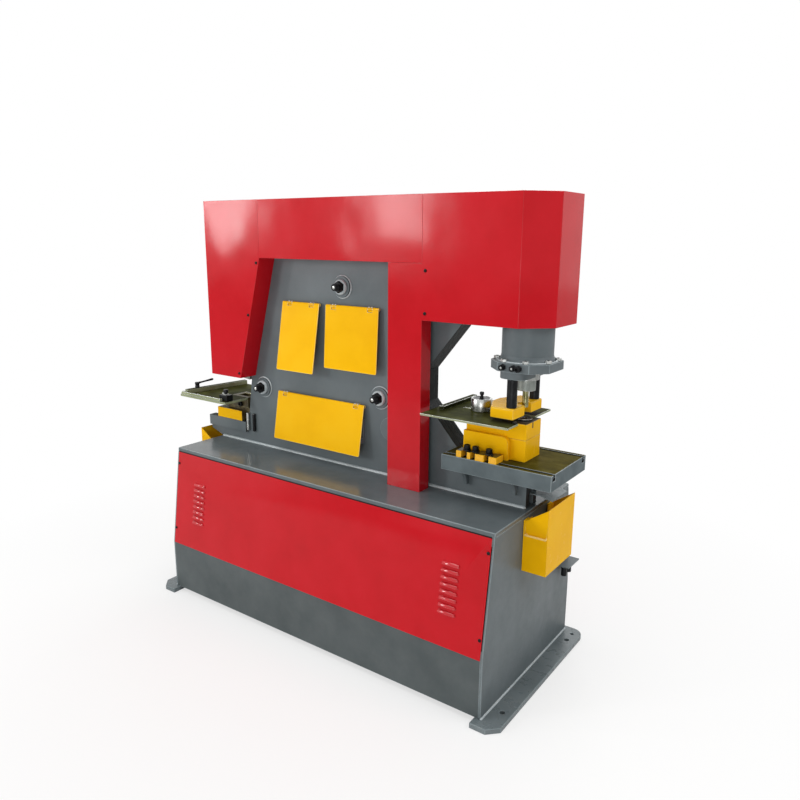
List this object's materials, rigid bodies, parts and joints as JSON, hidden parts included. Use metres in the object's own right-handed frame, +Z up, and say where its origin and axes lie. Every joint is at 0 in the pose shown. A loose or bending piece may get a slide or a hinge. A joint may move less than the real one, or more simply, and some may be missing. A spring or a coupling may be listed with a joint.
{
  "type": "hydraulic ironworker",
  "caption": "Free-standing workshop machine that punches, notches and shears steel bar, angle and plate with two hydraulic cylinders on a welded frame.",
  "frame": {"origin": "on the floor, at the centre of the four floor anchors, below the middle of the base", "axes": "+X along the base to the punching end, +Y to the back, +Z up"},
  "size_m": [2.075, 0.865, 1.956],
  "materials": {
    "red_paint": "gloss",
    "yellow_paint": "gloss",
    "grey_paint": "satin",
    "black_steel": "satin",
    "ground_steel": "ground",
    "cast_iron": "rough"
  },
  "bodies": {
    "base": {"base_end_left": "grey_paint", "base_end_right": "grey_paint", "base_top": "grey_paint", "base_tray": "grey_paint", "bin_hangers": "grey_paint", "bolster_clamps": "yellow_paint", "clamp_bolts": "black_steel", "die_bolster": "yellow_paint", "fixed_blades": "ground_steel", "flange_bolts": "black_steel", "flap_hinges": "black_steel", "foot_plates": "grey_paint", "frame_plate_front": "grey_paint", "frame_plate_rear": "grey_paint", "frame_webs": "grey_paint", "front_panel": "red_paint", "front_rail": "ground_steel", "gauge_plate": "ground_steel", "left_cover": "red_paint", "motor": "cast_iron", "notch_die": "ground_steel", "notch_holder": "yellow_paint", "notch_table": "ground_steel", "oil_tank": "grey_paint", "pivot_pin": "ground_steel", "pump": "cast_iron", "punch_cylinder": "grey_paint", "punch_die": "ground_steel", "punch_table": "ground_steel", "rear_panel": "red_paint", "right_cover": "red_paint", "shear_cylinder": "grey_paint", "sheet_screws": "black_steel", "side_adjusters": "black_steel", "slug_chute": "ground_steel", "socket_shelf": "black_steel", "stock_guides": "grey_paint", "stripper_carrier": "black_steel", "stripper_yoke": "yellow_paint", "stroke_rods": "black_steel", "tank_lid": "grey_paint", "top_cover": "red_paint", "valve_block": "cast_iron", "wiring_box": "grey_paint"},
    "ram": {"punch_ram": "ground_steel", "coupling_nut": "ground_steel", "punch": "ground_steel"},
    "arm": {"shear_arm": "grey_paint", "moving_blades": "ground_steel", "notch_punch": "ground_steel"},
    "rod": {"shear_rod": "ground_steel"},
    "flap_bar": {"guard_flap_bar": "yellow_paint"},
    "flap_angle": {"guard_flap_angle": "yellow_paint"},
    "flap_flat": {"guard_flap_flat": "yellow_paint"},
    "stop": {"gauge_stop": "ground_steel"},
    "slider": {"slide_stop": "black_steel"},
    "fence": {"side_fence": "ground_steel"},
    "lever": {"clamp_lever": "black_steel"},
    "bin_left": {"scrap_bin_left": "yellow_paint"},
    "bin_right": {"scrap_bin_right": "yellow_paint"}
  },
  "joints": [
    {"name": "ram_slide", "type": "slide", "parent": "base", "child": "ram", "axis": [0, 0, -1], "range_m": [0, 0.05]},
    {"name": "arm_swing", "type": "hinge", "parent": "base", "child": "arm", "pos_m": [0.22, 0, 0.97], "axis": [0, -1, 0], "range_deg": [0, 6]},
    {"name": "rod_slide", "type": "slide", "parent": "base", "child": "rod", "axis": [0, 0, -1], "range_m": [0, 0.0939]},
    {"name": "flap_bar_hinge", "type": "hinge", "parent": "base", "child": "flap_bar", "pos_m": [-0.29, -0.062, 1.49], "axis": [-1, 0, 0], "range_deg": [0, 100]},
    {"name": "flap_angle_hinge", "type": "hinge", "parent": "base", "child": "flap_angle", "pos_m": [0.014, -0.062, 1.49], "axis": [-1, 0, 0], "range_deg": [0, 100]},
    {"name": "flap_flat_hinge", "type": "hinge", "parent": "base", "child": "flap_flat", "pos_m": [-0.189, -0.062, 1.051], "axis": [-1, 0, 0], "range_deg": [0, 100]},
    {"name": "stop_slide", "type": "slide", "parent": "base", "child": "stop", "axis": [1, 0, 0], "range_m": [-0.06, 0.015]},
    {"name": "slider_slide", "type": "slide", "parent": "base", "child": "slider", "axis": [-1, 0, 0], "range_m": [0, 0.15]},
    {"name": "fence_swivel", "type": "hinge", "parent": "base", "child": "fence", "pos_m": [-1.011, -0.111, 0.985], "axis": [0, 0, 1], "range_deg": [0, 8]},
    {"name": "lever_turn", "type": "hinge", "parent": "base", "child": "lever", "pos_m": [-1.011, -0.111, 1.02], "axis": [0, 0, 1], "range_deg": [-60, 60]},
    {"name": "bin_left_lift", "type": "slide", "parent": "base", "child": "bin_left", "axis": [0, 0, 1], "range_m": [0, 0.045]},
    {"name": "bin_right_lift", "type": "slide", "parent": "base", "child": "bin_right", "axis": [0, 0, 1], "range_m": [0, 0.045]}
  ],
  "couplings": [
    {"joint": "rod_slide", "follows": "arm_swing", "m_per_rad": 0.8957}
  ]
}
